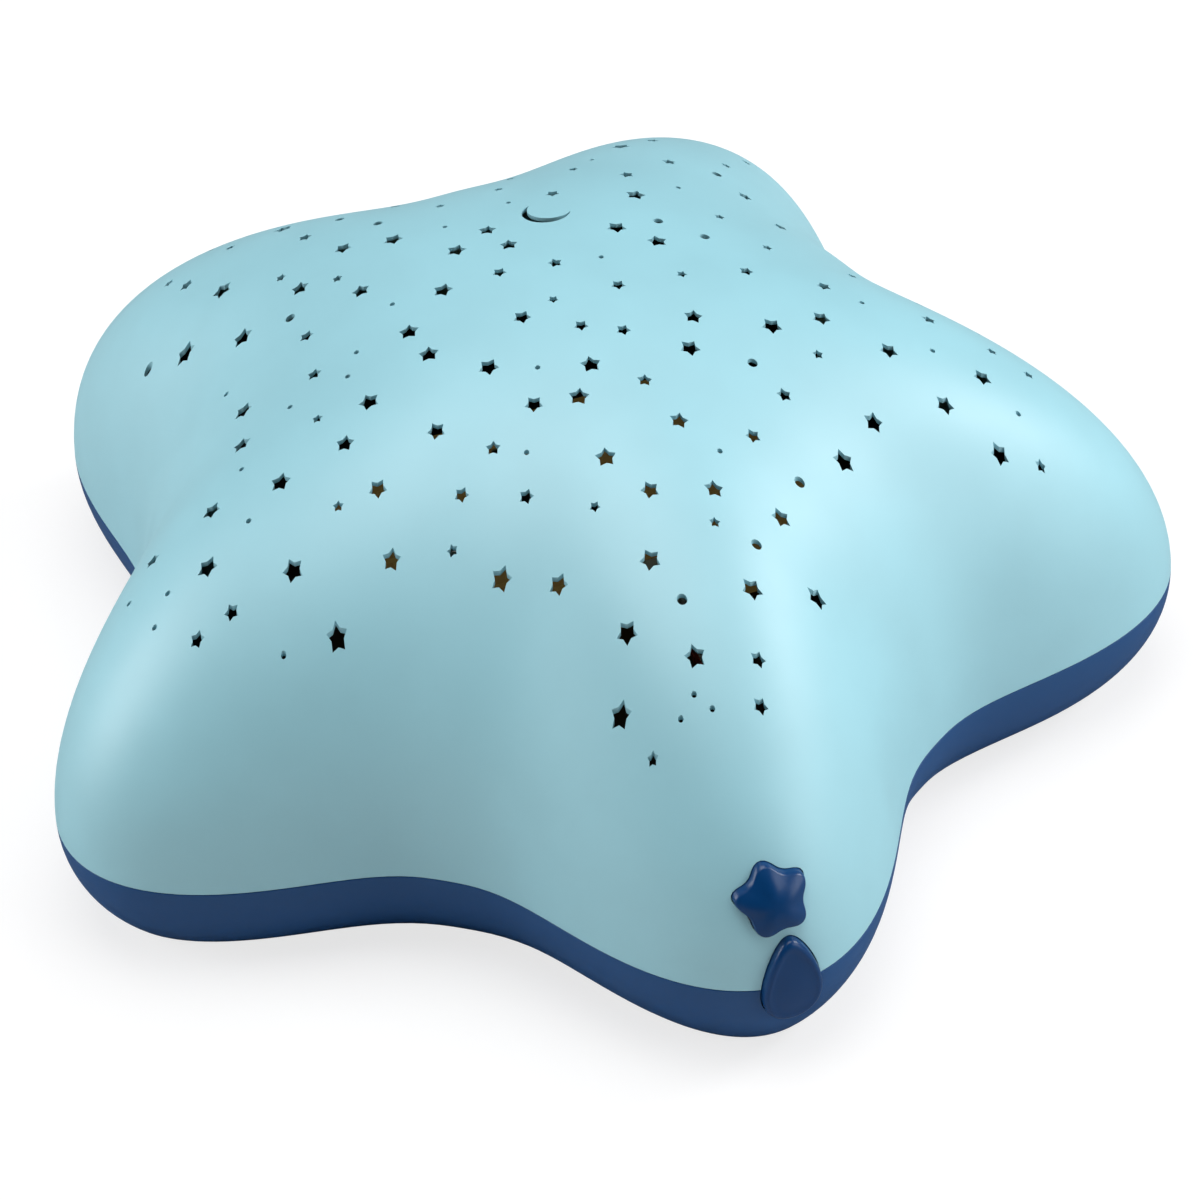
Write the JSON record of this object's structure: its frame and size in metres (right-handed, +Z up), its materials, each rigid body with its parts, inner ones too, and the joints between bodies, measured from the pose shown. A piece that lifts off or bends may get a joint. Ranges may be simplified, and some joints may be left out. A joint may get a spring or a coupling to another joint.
{
  "type": "star night light projector",
  "caption": "Five-armed star dome night light pierced with star, dot and moon holes, on a shallow base with a star button, a drop button and a battery door.",
  "frame": {"origin": "centre of the bounding box in plan, on the plane that the feet rest on", "axes": "+Z up; the front arm with the two buttons points to -Y; +X to the right seen from the front"},
  "size_m": [0.2112, 0.2047, 0.092],
  "materials": {
    "dome_shell": "satin",
    "base_shell": "satin",
    "button_navy": "soft gloss",
    "black_tray": "matte",
    "board": "satin",
    "lamp_clear": "clear gloss",
    "chip_black": "matte",
    "capacitor_sleeve": "gloss",
    "plug_ivory": "satin",
    "ribbon_grey": "satin",
    "plunger_grey": "satin",
    "cell_jacket": "gloss",
    "spring_nickel": "nickel plated",
    "lead_red": "satin",
    "screw_steel": "zinc plated",
    "foot_rubber": "matte"
  },
  "bodies": {
    "housing": {"dome": "dome_shell", "base_shell": "base_shell", "light_tray": "black_tray", "main_board": "board", "lamp_collar": "black_tray", "lamps": "lamp_clear", "controller_chip": "chip_black", "capacitor": "capacitor_sleeve", "chip_resistors": "chip_black", "ribbon_plugs": "plug_ivory", "ribbon_lead": "ribbon_grey", "button_board": "board", "switch_housings": "chip_black", "battery_cells": "cell_jacket", "contact_springs": "spring_nickel", "link_plates": "spring_nickel", "terminal_plates": "spring_nickel", "battery_leads": "lead_red", "case_screws": "screw_steel", "main_board_screws": "screw_steel", "button_board_screws": "screw_steel", "rubber_feet": "foot_rubber"},
    "star_cap": {"star_button": "button_navy"},
    "drop_cap": {"drop_button": "button_navy"},
    "star_switch": {"star_plunger": "plunger_grey"},
    "drop_switch": {"drop_plunger": "plunger_grey"},
    "door": {"battery_door": "base_shell", "door_screws": "screw_steel"}
  },
  "joints": [
    {"name": "star_press", "type": "slide", "parent": "housing", "child": "star_cap", "axis": [0, 1, 0], "range_m": [0, 0.0008], "stiffness_N_per_m": 1500, "springref_m": -0.0004},
    {"name": "drop_press", "type": "slide", "parent": "housing", "child": "drop_cap", "axis": [0, 1, 0], "range_m": [0, 0.0008], "stiffness_N_per_m": 1500, "springref_m": -0.0004},
    {"name": "star_switch_press", "type": "slide", "parent": "housing", "child": "star_switch", "axis": [0, 1, 0], "range_m": [0, 0.0008]},
    {"name": "drop_switch_press", "type": "slide", "parent": "housing", "child": "drop_switch", "axis": [0, 1, 0], "range_m": [0, 0.0008]},
    {"name": "door_release", "type": "slide", "parent": "housing", "child": "door", "axis": [0, 0, -1], "range_m": [0, 0.025]}
  ],
  "couplings": [
    {"joint": "star_switch_press", "follows": "star_press", "ratio": 1},
    {"joint": "drop_switch_press", "follows": "drop_press", "ratio": 1}
  ]
}
